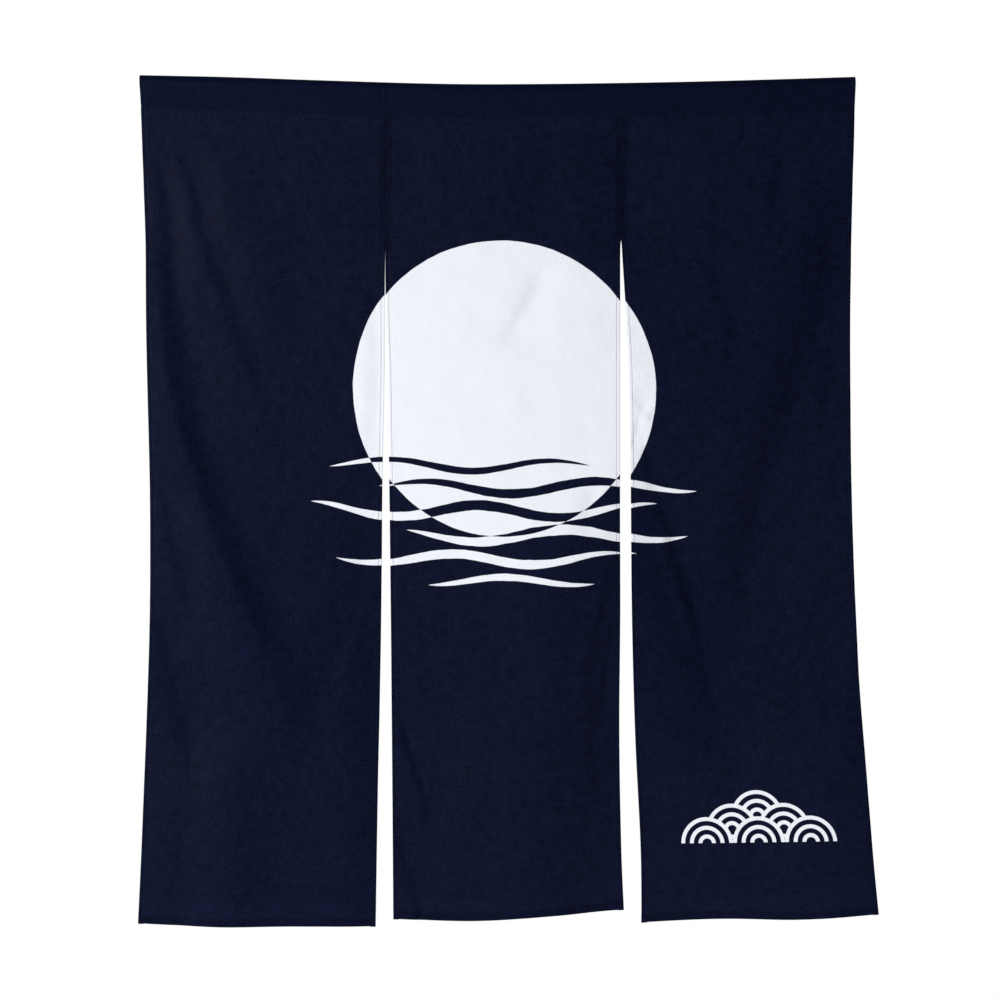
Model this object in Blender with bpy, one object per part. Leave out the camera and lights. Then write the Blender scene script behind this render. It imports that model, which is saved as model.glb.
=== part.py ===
"""Noren: a split door curtain of three dyed cotton panels, hanging from a rod tunnel along its top.

Metres, +Z up. The front faces -Y and +X is at the viewer's right. The origin is the middle of the
top edge, where the cloth hangs lowest between its two upper corners.

The three panels are sewn side to side down to the slits, and hang free below them. Their tops are
folded back together and sewn down as a tunnel for the rod, which is the heading. Each panel and
each length of heading is a piece of its own, a hair's breadth from its neighbours.
"""

import math
from collections import namedtuple

import bmesh
import bpy
from mathutils import Vector

MM = 0.001

# Cloth
LAYER = 1.2 * MM  # one layer of cotton
HEM_LAYER = 1.0 * MM  # what a turned hem adds at the back
HEM_STEP = 1.5 * MM  # across which the hem's thickness runs out
SIDE_HEM = 5 * MM
BOTTOM_HEM = 10 * MM
NOMINAL_LENGTH = 950 * MM  # of a panel below its heading
SEAM_GAP = 0.3 * MM  # between pieces that are sewn together

# Heading, the rod tunnel
HEADING = 41 * MM  # from the top edge down to its stitches
TUNNEL_RADIUS = 8 * MM  # inside the round top of the tunnel
TUNNEL_TURN = math.radians(15)  # how far past half a circle the round top goes
STITCHED_STRIP = 4 * MM  # both layers together, above the stitches
CREASE = 0.4 * MM  # half the width of the tunnel's lowest corner

# Hang
FLAT_ABOVE = -45 * MM  # the rod keeps the cloth flat down to here
FOLDED_BELOW = -110 * MM  # and lets it fold fully from here down
SLIT_TOP = -185 * MM  # where the seams end and the slits start
SEAM_EASE = 20 * MM  # over which a drawn seam starts, below FLAT_ABOVE
SEAM_REACH = 45 * MM  # how far to each side a seam holds the cloth flat
SLIT_EASE = 120 * MM  # over which a fold comes back below a seam's end

# Mesh
COLUMNS = 19  # cells across a panel, between its side hems
ROWS = 46  # cells down a panel, above its bottom hem
TUNNEL_POINTS = 10  # round the tunnel's top
STATIONS = 5  # cells along a length of heading

NAVY = (0.0060, 0.0082, 0.0230, 1)
NAVY_DOUBLE = (0.0044, 0.0060, 0.0185, 1)
COTTON_ROUGHNESS = 0.9

# The outline, in millimetres. For each level below the top edge: the left edge, the middle and
# the width of each slit (above SLIT_TOP, of each seam), and the right edge.
Level = namedtuple("Level", "drop left slit_a gap_a slit_b gap_b right")
LEVELS = (
    Level(0, -425, -132.5, 0.4, 148.0, 0.4, 425),
    Level(190, -418, -133.5, 0.4, 147.0, 0.4, 422),
    Level(270, -417, -133.4, 1.8, 149.2, 7.0, 421),
    Level(340, -415.5, -132.4, 4.0, 151.0, 10.6, 421),
    Level(480, -412.5, -132.8, 8.9, 152.2, 13.1, 422.5),
    Level(625, -413, -132.9, 12.5, 153.0, 13.8, 427),
    Level(770, -417.5, -133.4, 16.1, 154.4, 18.5, 433.5),
    Level(910, -423, -134.0, 19.6, 159.0, 23.0, 444),
    Level(1005, -427.5, -134.4, 21.6, 161.5, 20.0, 453),
)

# The top edge's rise above the origin, in millimetres, from the left corner to the right one.
Rise = namedtuple("Rise", "across rise")
TOP_EDGE = (
    Rise(-425, 10.5),
    Rise(-320, 8.2),
    Rise(-211, 4.4),
    Rise(-60, 0.1),
    Rise(60, 0.1),
    Rise(217, 2.5),
    Rise(340, 5.8),
    Rise(425, 8.5),
)

# The panels: which edges of a level they lie between, and the drop of the bottom edge in
# millimetres at the left, at one third, at two thirds and at the right.
Panel = namedtuple("Panel", "side from_edge to_edge bottom")
PANELS = (
    Panel("left", "left", "slit_a", (997.5, 1001.0, 1001.5, 1002.0)),
    Panel("centre", "slit_a", "slit_b", (992.5, 995.0, 989.5, 983.0)),
    Panel("right", "slit_b", "right", (997.0, 992.0, 991.5, 984.5)),
)

# The folds, in millimetres. Each is a soft trough (depth above 0, away from the viewer) or ridge
# (depth below 0) along a route of (across, drop) points, which runs down the curtain. It runs out
# over one width at the viewer's left of the route and another at the right, and fades at both ends.
Fold = namedtuple("Fold", "panels depth left right route")
FOLDS = (
    # Left panel: the long fold from its edge to the middle, and the one from the slit that meets it
    Fold("left", -9.5, 80, 18, (
        (-411, 150), (-407, 220), (-401, 292), (-393, 352), (-380, 411), (-361, 471), (-342, 530),
        (-316, 590), (-292, 649), (-262, 710), (-238, 770),
    )),
    Fold("left", 6.0, 40, 240, ((-290, 510), (-256, 610), (-226, 690), (-206, 770), (-204, 850))),
    Fold("left", 7.0, 30, 200, ((-138, 460), (-150, 560), (-172, 650), (-206, 730), (-226, 810))),
    Fold("left", 5.5, 130, 30, ((-140, 400), (-140, 500), (-142, 580), (-148, 660), (-156, 740))),
    Fold("left", -1.0, 9, 9, ((-148, 570), (-166, 650), (-192, 720))),
    # Left panel: the fan out of its upper corner
    Fold("left", -3.6, 76, 50, ((-340, 20), (-325, 110), (-308, 230), (-302, 350), (-296, 470))),
    Fold("left", 2.2, 10, 26, (
        (-390, 40), (-359, 114), (-347, 174), (-323, 233), (-303, 292), (-280, 352), (-272, 430),
    )),
    Fold("left", 2.0, 8, 18, ((-402, 60), (-395, 114), (-389, 174), (-384, 240), (-380, 300))),
    # Left panel: its lower half
    Fold("left", 2.2, 10, 30, ((-396, 450), (-384, 530), (-368, 600), (-354, 660))),
    Fold("left", 3.4, 13, 60, ((-402, 590), (-386, 690), (-370, 760), (-354, 850))),
    Fold("left", -9.5, 84, 56, ((-326, 740), (-320, 810), (-316, 900), (-314, 1120))),
    Fold("left", 2.6, 28, 44, ((-282, 790), (-282, 900), (-284, 1120))),
    Fold("left", 1.8, 14, 26, ((-370, 800), (-372, 900), (-376, 1120))),
    Fold("left", 7.5, 26, 60, ((-138, 560), (-138, 680), (-138, 820), (-140, 940), (-142, 1120))),
    # Centre panel: the broad fold along the right slit, and a narrow ridge in it
    Fold("centre", 6.5, 28, 90, ((178, 420), (166, 520), (152, 600), (134, 661), (132, 720), (138, 800))),
    Fold("centre", 11.5, 42, 110, (
        (150, 670), (146, 760), (142, 840), (136, 940), (130, 1120),
    )),
    Fold("centre", -2.4, 9, 8, ((140, 540), (124, 600), (108, 661), (99, 715), (96, 780))),
    Fold("centre", 2.6, 7, 40, ((150, 590), (138, 660), (132, 708), (120, 756), (112, 804), (108, 850))),
    # Centre panel: its soft middle and the creases off the left slit
    Fold("centre", -6.0, 80, 44, (
        (84, 440), (72, 560), (64, 640), (54, 700), (42, 760), (38, 830), (40, 900), (40, 1120),
    )),
    Fold("centre", 1.6, 30, 60, ((0, 640), (10, 720), (-2, 800))),
    Fold("centre", 3.2, 6, 60, ((-120, 735), (-104, 790), (-86, 840), (-74, 900))),
    Fold("centre", 2.6, 7, 60, ((-126, 850), (-112, 905), (-94, 960), (-84, 1040))),
    Fold("centre", 2.6, 12, 24, ((62, 205), (40, 262), (6, 320))),
    Fold("centre", 2.8, 28, 60, ((60, 20), (62, 110), (44, 190))),
    # Right panel: the long fold from its upper corner, and the small ones beside it
    Fold("right", 13.0, 35, 200, (
        (430, -10), (424, 100), (414, 180), (402, 240), (388, 300), (368, 355), (350, 412), (331, 472),
        (315, 535), (300, 600), (290, 680), (284, 760),
    )),
    Fold("right", 2.6, 22, 90, ((376, 330), (350, 412), (331, 472), (315, 535), (300, 600), (292, 660))),
    Fold("right", 1.8, 7, 24, ((408, 280), (396, 340), (384, 410))),
    Fold("right", 1.8, 12, 40, ((246, 190), (270, 250), (300, 330))),
    Fold("right", 3.0, 12, 24, ((340, 10), (338, 90), (332, 190))),
    Fold("right", 1.8, 9, 20, ((384, 10), (380, 80), (372, 150))),
    # Right panel: the wedge off the slit
    Fold("right", 11.5, 42, 150, (
        (190, 390), (202, 470), (216, 540), (240, 620), (262, 700), (270, 780), (272, 860),
    )),
    Fold("right", 2.6, 8, 60, ((195, 480), (213, 560), (237, 630), (250, 700), (254, 750))),
    Fold("right", -2.0, 9, 9, ((186, 500), (206, 565), (224, 630), (238, 680))),
    # Right panel: its lower half
    Fold("right", 1.8, 11, 60, ((438, 730), (430, 810), (420, 880), (406, 980))),
    Fold("right", -18.0, 115, 110, ((430, 690), (424, 820), (422, 920), (420, 1120))),
    Fold("right", 3.6, 18, 60, ((172, 760), (176, 900), (182, 1120))),
    # Both panels along each seam, which is drawn in
    Fold("left centre", 2.4, 48, 60, ((-132.5, -10), (-133, 100), (-133.5, 235))),
    Fold("centre right", 4.4, 34, 70, ((148, -10), (147.6, 100), (147, 235))),
)
FOLD_ENDS = 0.3  # the share of a route over which its fold fades, at each end


def smooth_step(start, end, value):
    """0 at start, 1 at end, with a soft turn at both."""
    share = min(1, max(0, (value - start) / (end - start)))
    return share * share * (3 - 2 * share)


def smooth_curve(stops, values, at):
    """The value at a stop on a smooth curve through the values, which is straight past its ends."""
    last = len(stops) - 2
    i = max(0, min(last, sum(stop <= at for stop in stops) - 1))

    def slope(k):
        low, high = max(0, k - 1), min(last + 1, k + 1)
        return (values[high] - values[low]) / (stops[high] - stops[low])

    span = stops[i + 1] - stops[i]
    t = (at - stops[i]) / span
    if t < 0 or t > 1:
        end = i if t < 0 else i + 1
        return values[end] + slope(end) * (at - stops[end])
    return (
        values[i] * (1 + 2 * t) * (1 - t) ** 2
        + values[i + 1] * t * t * (3 - 2 * t)
        + span * (slope(i) * t * (1 - t) ** 2 - slope(i + 1) * t * t * (1 - t))
    )


def level_value(column, drop):
    """A column of the outline table at a drop, both in metres."""
    drops = [level.drop * MM for level in LEVELS]
    return smooth_curve(drops, [getattr(level, column) * MM for level in LEVELS], drop)


def edge(column, side, drop):
    """Where a panel's edge is: side is 1 on a slit's right, -1 on its left."""
    middle = level_value(column, drop)
    if column.startswith("slit"):
        return middle + side * max(SEAM_GAP, level_value(column.replace("slit", "gap"), drop)) / 2
    return middle


def across_at(panel, share, drop):
    """The place across, at a share of a panel's width."""
    left, right = edge(panel.from_edge, 1, drop), edge(panel.to_edge, -1, drop)
    return left + (right - left) * share


def top_edge(across):
    """Height of the top edge, which sags between its corners."""
    return smooth_curve([row.across * MM for row in TOP_EDGE], [row.rise * MM for row in TOP_EDGE], across)


def bottom_edge(panel, share):
    """Height of a panel's bottom edge, at a share of its width."""
    thirds = [i / 3 for i in range(4)]
    return -smooth_curve(thirds, [drop * MM for drop in panel.bottom], share)


def fold_shape(fold, point):
    """How far back one fold pushes the cloth at a point."""
    points = [Vector((across * MM, -drop * MM)) for across, drop in fold.route]
    lengths = [(b - a).length for a, b in zip(points, points[1:])]
    nearest, share, passed, width = math.inf, 0, 0, fold.left
    for a, b, length in zip(points, points[1:], lengths):
        run, away = b - a, point - a
        t = min(1, max(0, away.dot(run) / run.length_squared))
        distance = (away - run * t).length
        if distance < nearest:
            nearest, share = distance, (passed + t * length) / sum(lengths)
            width = fold.right if run.x * away.y > run.y * away.x else fold.left
        passed += length
    fade = smooth_step(0, FOLD_ENDS, share) * smooth_step(0, FOLD_ENDS, 1 - share)
    return fold.depth * MM * fade * math.exp(-((nearest / (width * MM)) ** 2))


def fold_depth(side, across, height):
    """How far back (+Y) the folds push a panel's cloth at a point of it."""
    point = Vector((across, height))
    free = 0
    sewn = 0
    for fold in FOLDS:
        if side not in fold.panels.split():
            continue
        if " " in fold.panels:
            sewn += fold_shape(fold, point)
        else:
            free += fold_shape(fold, point)
    # A seam holds both of its panels level, down to where its slit opens
    for slit in ("slit_a", "slit_b"):
        beside = smooth_step(0, SEAM_REACH, abs(across - level_value(slit, -height)))
        below = smooth_step(SLIT_TOP, SLIT_TOP - SLIT_EASE, height)
        free *= max(beside, below)
    return free * smooth_step(FLAT_ABOVE, FOLDED_BELOW, height) + sewn * smooth_step(
        FLAT_ABOVE, FLAT_ABOVE - SEAM_EASE, height
    )


def cloth_material(name, colour):
    material = bpy.data.materials.new(name)
    material.use_nodes = True
    shader = material.node_tree.nodes["Principled BSDF"]
    shader.inputs["Base Color"].default_value = colour
    shader.inputs["Roughness"].default_value = COTTON_ROUGHNESS
    shader.inputs["Metallic"].default_value = 0
    return material


def add_piece(name, body, colour):
    """Makes a finished bmesh an object, smooth but for its cut edges."""
    bmesh.ops.recalc_face_normals(body, faces=body.faces)
    mesh = bpy.data.meshes.new(name)
    body.to_mesh(mesh)
    body.free()
    mesh.shade_smooth()
    mesh.set_sharp_from_angle(angle=math.radians(50))
    mesh.materials.append(cloth_material(name, colour))
    piece = bpy.data.objects.new(name, mesh)
    bpy.context.collection.objects.link(piece)
    return piece


def bridge(body, rings):
    """Joins closed rings of vertices, each to the next."""
    for ring, following in zip(rings, rings[1:]):
        for i in range(len(ring)):
            body.faces.new((ring[i - 1], ring[i], following[i], following[i - 1]))


def hem_share(distance, hem):
    """1 inside a hem, 0 past it, by the distance from the cloth's edge."""
    return 1 if distance <= hem + 1e-6 else 0


def even_stops(start, end, cells):
    return [start + (end - start) * i / cells for i in range(cells + 1)]


def panel_ring(body, panel, share_down):
    """One level of a panel: across its front face, and back across its rear face."""
    front, rear = [], []
    width = across_at(panel, 1, NOMINAL_LENGTH / 2) - across_at(panel, 0, NOMINAL_LENGTH / 2)
    hem, step = SIDE_HEM / width, HEM_STEP / width
    shares = [0, hem, *even_stops(hem + step, 1 - hem - step, COLUMNS), 1 - hem, 1]
    for share in shares:
        # The edges lean, so the height is settled first and the place across it second
        top = top_edge(across_at(panel, share, 0)) - HEADING - SEAM_GAP
        bottom = bottom_edge(panel, share)
        height = top + (bottom - top) * share_down
        across = across_at(panel, share, -height)
        depth = fold_depth(panel.side, across, height)
        hems = max(
            hem_share(min(share, 1 - share) * width, SIDE_HEM),
            hem_share((1 - share_down) * (top - bottom), BOTTOM_HEM),
        )
        front.append(body.verts.new((across, depth - LAYER, height)))
        rear.append(body.verts.new((across, depth + hems * HEM_LAYER, height)))
    return front + rear[::-1]


def add_panel(panel):
    """A panel from the heading's stitches down to its bottom hem."""
    body = bmesh.new()
    hem, step = BOTTOM_HEM / NOMINAL_LENGTH, HEM_STEP / NOMINAL_LENGTH
    rings = [
        panel_ring(body, panel, share_down)
        for share_down in (*even_stops(0, 1 - hem - step, ROWS), 1 - hem, 1)
    ]
    bridge(body, rings)
    for ring in (rings[0], rings[-1]):
        for i in range(len(ring) // 2 - 1):
            body.faces.new((ring[i], ring[i + 1], ring[-2 - i], ring[-1 - i]))
    return add_piece("panel_" + panel.side, body, NAVY)


def tunnel_ring(body, panel, share, radius, foot, foot_half_width):
    """A drop shape round the rod: a round top, and straight sides down to a narrow foot."""
    top = top_edge(across_at(panel, share, 0))
    centre = LAYER + TUNNEL_RADIUS
    section = []
    for angle in even_stops(-TUNNEL_TURN, math.pi + TUNNEL_TURN, TUNNEL_POINTS):
        section.append((radius * math.cos(angle), centre - radius * math.sin(angle)))
    section.append((-foot_half_width, foot))
    section.append((foot_half_width, foot))
    return [body.verts.new((across_at(panel, share, drop), back, top - drop)) for back, drop in section]


def add_heading(panel):
    """The length of rod tunnel at the top of one panel, open at both ends."""
    body = bmesh.new()
    outer, inner = [], []
    for share in even_stops(0, 1, STATIONS):
        outer.append(tunnel_ring(body, panel, share, TUNNEL_RADIUS + LAYER, HEADING, LAYER))
        inner.append(tunnel_ring(body, panel, share, TUNNEL_RADIUS, HEADING - STITCHED_STRIP, CREASE))
    bridge(body, outer)
    bridge(body, inner)
    bridge(body, (outer[0], inner[0]))
    bridge(body, (outer[-1], inner[-1]))
    return add_piece("heading_" + panel.side, body, NAVY_DOUBLE)


def main():
    for old in list(bpy.data.objects):
        bpy.data.objects.remove(old)
    for panel in PANELS:
        add_heading(panel)
        add_panel(panel)


main()
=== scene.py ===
"""Sews a three-panel noren curtain in dyed cotton, over the frame, and lights it in a plain studio.

Everything is in metres: +X is at the viewer's right, -Y is the front and +Z is up. The origin is the
middle of the curtain's top edge. Each panel is one sheet of cloth: it starts behind the rod tunnel,
goes up and over the rod, hangs down the front, and turns under in narrow hems.
"""

import math
from collections import namedtuple
from functools import reduce

import bpy
import numpy as np
from bpy.props import FloatProperty, FloatVectorProperty, PointerProperty
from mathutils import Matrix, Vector


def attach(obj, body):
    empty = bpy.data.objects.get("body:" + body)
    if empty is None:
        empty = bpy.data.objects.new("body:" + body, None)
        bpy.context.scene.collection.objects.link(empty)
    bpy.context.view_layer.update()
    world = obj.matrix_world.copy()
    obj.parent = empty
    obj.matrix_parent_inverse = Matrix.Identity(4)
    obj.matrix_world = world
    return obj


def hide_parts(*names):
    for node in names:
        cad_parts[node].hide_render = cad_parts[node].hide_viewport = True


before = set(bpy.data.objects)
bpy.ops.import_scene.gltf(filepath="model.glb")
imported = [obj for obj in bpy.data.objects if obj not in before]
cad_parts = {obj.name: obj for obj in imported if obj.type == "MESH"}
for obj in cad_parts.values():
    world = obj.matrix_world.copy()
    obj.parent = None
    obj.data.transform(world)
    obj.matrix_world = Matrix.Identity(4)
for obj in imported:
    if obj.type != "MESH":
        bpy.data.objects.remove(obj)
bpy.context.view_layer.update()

bl_info = {
    "name": "Noren Curtain",
    "version": (1, 0, 0),
    "blender": (4, 5, 0),
    "location": "3D View > Sidebar > Noren",
    "description": "Sews a three-panel noren curtain in dyed cotton and sets up its studio",
    "category": "Add Mesh",
}

MM = 0.001

# Hang of the cloth, as in the frame
SOLID_LAYER = 1.2 * MM  # the frame's thickness of one layer
HEADING = 41 * MM  # from the top edge down to the tunnel's stitches
TUNNEL_RADIUS = 9.2 * MM  # outside the round top of the tunnel
TUNNEL_TURN = math.radians(15)  # how far past half a circle the round top goes, at each end
FRAME_SEAM_GAP = 0.4 * MM  # what the frame leaves open at a seam, closed here
SEAM_PRESS = 0.7 * MM  # how far a seam presses the two turned edges together
FLAT_ABOVE = -45 * MM  # the rod keeps the cloth flat down to here
FOLDED_BELOW = -110 * MM  # and lets it fold fully from here down
SLIT_TOP = -185 * MM  # where the seams end and the slits start
SEAM_EASE = 20 * MM  # over which a drawn seam starts, below FLAT_ABOVE
SEAM_REACH = 45 * MM  # how far to each side a seam holds the cloth flat
SEAM_OPENS = 8 * MM  # over which the pressed edges part below a seam
SLIT_EASE = 120 * MM  # over which a fold comes back below a seam's end
FOLD_ENDS = 0.3  # the share of a route over which its fold fades, at each end

# The outline, in millimetres. For each level below the top edge: the left edge, the middle and
# the width of each slit (above SLIT_TOP, of each seam), and the right edge.
Level = namedtuple("Level", "drop left slit_a gap_a slit_b gap_b right")
SLITS = ("slit_a", "slit_b")
LEVELS = (
    Level(0, -425, -132.5, 0.4, 148.0, 0.4, 425),
    Level(178, -418.4, -133.5, 0.4, 147.0, 0.4, 422.2),
    Level(190, -418, -133.5, 0.4, 147.0, 1.7, 422),
    Level(205, -417.8, -133.5, 0.5, 147.2, 2.8, 421.9),
    Level(270, -417, -133.4, 1.8, 149.2, 7.0, 421),
    Level(340, -415.5, -132.4, 4.0, 151.0, 10.6, 421),
    Level(480, -412.5, -132.8, 8.9, 152.2, 13.1, 422.5),
    Level(625, -413, -132.9, 12.5, 153.0, 13.8, 427),
    Level(770, -417.5, -133.4, 16.1, 154.4, 18.5, 433.5),
    Level(910, -423, -134.0, 19.6, 159.0, 23.0, 444),
    Level(1005, -427.5, -134.4, 21.6, 161.5, 20.0, 453),
)

# The top edge's rise above the origin, in millimetres, from the left corner to the right one.
Rise = namedtuple("Rise", "across rise")
TOP_EDGE = (
    Rise(-425, 10.5),
    Rise(-320, 8.2),
    Rise(-211, 4.4),
    Rise(-60, 0.1),
    Rise(60, 0.1),
    Rise(217, 2.5),
    Rise(340, 5.8),
    Rise(425, 8.5),
)

# The panels: which edges of a level they lie between, and the drop of the bottom edge in
# millimetres at the left, at one third, at two thirds and at the right.
Panel = namedtuple("Panel", "side from_edge to_edge bottom")
PANELS = (
    Panel("left", "left", "slit_a", (997.5, 1001.0, 1001.5, 1002.0)),
    Panel("centre", "slit_a", "slit_b", (992.5, 995.0, 989.5, 983.0)),
    Panel("right", "slit_b", "right", (997.0, 992.0, 991.5, 984.5)),
)

# The folds, in millimetres. Each is a soft trough (depth above 0, away from the viewer) or ridge
# (depth below 0) along a route of (across, drop) points. It runs out over one width at the left of
# the route and another at its right, and fades at the route's two ends.
Fold = namedtuple("Fold", "panels depth left right route")
FOLDS = (
    # Left panel: the long fold from its edge to the middle, and the one from the slit that meets it
    Fold("left", -9.5, 80, 18, (
        (-411, 150), (-407, 220), (-401, 292), (-393, 352), (-380, 411), (-361, 471), (-342, 530),
        (-316, 590), (-292, 649), (-262, 710), (-238, 770),
    )),
    Fold("left", 6.0, 40, 240, ((-290, 510), (-256, 610), (-226, 690), (-206, 770), (-204, 850))),
    Fold("left", 7.0, 30, 200, ((-138, 460), (-150, 560), (-172, 650), (-206, 730), (-226, 810))),
    Fold("left", 5.5, 130, 30, ((-140, 400), (-140, 500), (-142, 580), (-148, 660), (-156, 740))),
    Fold("left", -1.0, 9, 9, ((-148, 570), (-166, 650), (-192, 720))),
    # Left panel: the fan out of its upper corner
    Fold("left", -3.6, 76, 50, ((-340, 20), (-325, 110), (-308, 230), (-302, 350), (-296, 470))),
    Fold("left", 2.2, 10, 26, (
        (-390, 40), (-359, 114), (-347, 174), (-323, 233), (-303, 292), (-280, 352), (-272, 430),
    )),
    Fold("left", 2.0, 8, 18, ((-402, 60), (-395, 114), (-389, 174), (-384, 240), (-380, 300))),
    # Left panel: its lower half
    Fold("left", 2.2, 10, 30, ((-396, 450), (-384, 530), (-368, 600), (-354, 660))),
    Fold("left", 3.4, 13, 60, ((-402, 590), (-386, 690), (-370, 760), (-354, 850))),
    Fold("left", -9.5, 84, 56, ((-326, 740), (-320, 810), (-316, 900), (-314, 1120))),
    Fold("left", 2.6, 28, 44, ((-282, 790), (-282, 900), (-284, 1120))),
    Fold("left", 1.8, 14, 26, ((-370, 800), (-372, 900), (-376, 1120))),
    Fold("left", 7.5, 26, 60, ((-138, 560), (-138, 680), (-138, 820), (-140, 940), (-142, 1120))),
    # Centre panel: the broad fold along the right slit, and a narrow ridge in it
    Fold("centre", 6.5, 28, 90, ((178, 420), (166, 520), (152, 600), (134, 661), (132, 720), (138, 800))),
    Fold("centre", 11.5, 42, 110, ((150, 670), (146, 760), (142, 840), (136, 940), (130, 1120))),
    Fold("centre", -2.4, 9, 8, ((140, 540), (124, 600), (108, 661), (99, 715), (96, 780))),
    Fold("centre", 2.6, 7, 40, ((150, 590), (138, 660), (132, 708), (120, 756), (112, 804), (108, 850))),
    # Centre panel: its soft middle and the creases off the left slit
    Fold("centre", -6.0, 80, 44, (
        (84, 440), (72, 560), (64, 640), (54, 700), (42, 760), (38, 830), (40, 900), (40, 1120),
    )),
    Fold("centre", 1.6, 30, 60, ((0, 640), (10, 720), (-2, 800))),
    Fold("centre", 3.2, 6, 60, ((-120, 735), (-104, 790), (-86, 840), (-74, 900))),
    Fold("centre", 2.6, 7, 60, ((-126, 850), (-112, 905), (-94, 960), (-84, 1040))),
    Fold("centre", 2.6, 12, 24, ((62, 205), (40, 262), (6, 320))),
    Fold("centre", 2.8, 28, 60, ((60, 20), (62, 110), (44, 190))),
    # Right panel: the long fold from its upper corner, and the small ones beside it
    Fold("right", 13.0, 35, 200, (
        (430, -10), (424, 100), (414, 180), (402, 240), (388, 300), (368, 355), (350, 412), (331, 472),
        (315, 535), (300, 600), (290, 680), (284, 760),
    )),
    Fold("right", 2.6, 22, 90, ((376, 330), (350, 412), (331, 472), (315, 535), (300, 600), (292, 660))),
    Fold("right", 1.8, 7, 24, ((408, 280), (396, 340), (384, 410))),
    Fold("right", 1.8, 12, 40, ((246, 190), (270, 250), (300, 330))),
    Fold("right", 3.0, 12, 24, ((340, 10), (338, 90), (332, 190))),
    Fold("right", 1.8, 9, 20, ((384, 10), (380, 80), (372, 150))),
    # Right panel: the wedge off the slit
    Fold("right", 11.5, 42, 150, (
        (190, 390), (202, 470), (216, 540), (240, 620), (262, 700), (270, 780), (272, 860),
    )),
    Fold("right", 2.6, 8, 60, ((195, 480), (213, 560), (237, 630), (250, 700), (254, 750))),
    Fold("right", -2.0, 9, 9, ((186, 500), (206, 565), (224, 630), (238, 680))),
    # Right panel: its lower half
    Fold("right", 1.8, 11, 60, ((438, 730), (430, 810), (420, 880), (406, 980))),
    Fold("right", -18.0, 115, 110, ((430, 690), (424, 820), (422, 920), (420, 1120))),
    Fold("right", 3.6, 18, 60, ((172, 760), (176, 900), (182, 1120))),
    # Both panels along each seam, which is drawn in
    Fold("left centre", 2.4, 48, 60, ((-132.5, -10), (-133, 100), (-133.5, 235))),
    Fold("centre right", 4.4, 34, 70, ((148, -10), (147.6, 100), (147, 235))),
)

# Small creases, too fine for the frame, in millimetres as the folds are
CREASES = (
    Fold("left", 2.2, 13, 30, ((-144, 190), (-143, 260), (-141, 360), (-144, 490))),
    Fold("right", 1.5, 5, 12, ((158, 366), (166, 374), (184, 394), (192, 404))),
    Fold("right", 1.5, 5, 12, ((176, 380), (170, 396), (162, 432), (158, 446))),
    Fold("right", 1.9, 5, 14, ((172, 416), (176, 430), (184, 470), (190, 490))),
    Fold("right", -1.2, 6, 5, ((196, 372), (184, 384), (176, 398), (170, 410))),
    Fold("centre", 1.6, 10, 24, ((104, 470), (112, 500), (108, 550))),
)

# Mesh
COLUMNS = 96  # cells across a panel's face
ROWS = 292  # cells down a panel, below the heading
ARC_ROWS = 16  # cells over the round top of the tunnel
WALL_ROWS = 9  # cells down each wall of the tunnel
HEM_CELLS = 3  # cells across a hem
TURN_STEPS = 4  # cells round a turned edge
ROUTE_STEPS = 8  # straight bits between two points of a fold's route
SMOOTH_BELOW = math.radians(60)  # the angle between two faces that still shade as one
FLAT_MAP = "flat"  # UV map: the place in the flat cut, across and up, in metres
HEM_PLACE = "hem_place"  # attribute: what is left to the side edge and to the bottom edge

STITCH_INSET = 0.9 * MM  # from a hem's inner edge to its stitches
STITCH_SHARE = 0.84  # of a stitch's length, above the cloth
THREAD_RADIUS = 0.19 * MM
THREAD_SIDES = 6
THREAD_RINGS = 4
HEM_STEP = 3 * MM  # over which a bottom hem comes down off a side hem
HEM_UNDER = 2.5 * MM  # how far the cloth goes on behind the heading's stitches
SEAM_ALLOWANCE = 7 * MM  # to each side of a seam
SEAM_START = 0.5 * MM  # how far a seam reaches up behind the heading
SEAM_COLUMNS = 8
SEAM_ROWS = 48

# Creasing that the folds leave out: many small waves, which never quite repeat
WAVES = 70
WAVE_LENGTHS = (16 * MM, 90 * MM)
WAVE_SLOPE = 0.0042  # of each one
WAVE_SEED = 41

# Spots in the cloth, from large to fine, and the slubs of its warp and weft: how large, how much
# longer each way, how detailed, how strong in the dye and in the white, and how high they stand.
Spots = namedtuple("Spots", "size stretch detail dye white relief")
SPOTS = (
    Spots(70 * MM, (1, 1), 2, 0.12, 0, 0),
    Spots(11 * MM, (1, 1), 3, 0.50, 0.010, 0.14 * MM),
    Spots(2.6 * MM, (1, 1), 3, 0.80, 0, 0.05 * MM),
    Spots(1.1 * MM, (1, 26), 2, 0.20, 0.012, 0.035 * MM),
    Spots(1.1 * MM, (26, 1), 2, 0.20, 0.012, 0.035 * MM),
)

# Looks of the dyed cloth
THREAD_ARCH = (0.45, 0.55)  # how far a thread rises on its way over another, and from where
THREAD_CROSSING = 0.25  # how softly one thread gives way to the other
THREAD_SHADE = (0.35, 0.72)  # painted shade of the weave: how much lighter a thread's top is, and the shade between threads
THREAD_RELIEF = 0.045 * MM
LAYER_EDGE = 0.4 * MM  # half the width over which the painted shade of one layer turns to that of two
SEAM_EDGE = (1.5 * MM, -1 * MM)  # the same for a seam's allowance, outside and inside it
SEAM_FADE = 30 * MM  # over which a seam's shade fades below it
SEAM_SHADE = -0.2  # painted shade: a seam is darker still
HEADING_CALM = -0.4  # the spots show less in the heading
PALE_ABOVE_HEM = 40 * MM  # the cloth gets paler from here down to its bottom hem
PALE_START = 1 * MM  # and is palest this far above the hem
PALE = 0.13  # how much paler
WHITE = 0.985  # shade of the print, before its spots
WHITE_THREADS = (0.06, 0.95)  # the same painted shade of the weave, in the white
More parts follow.
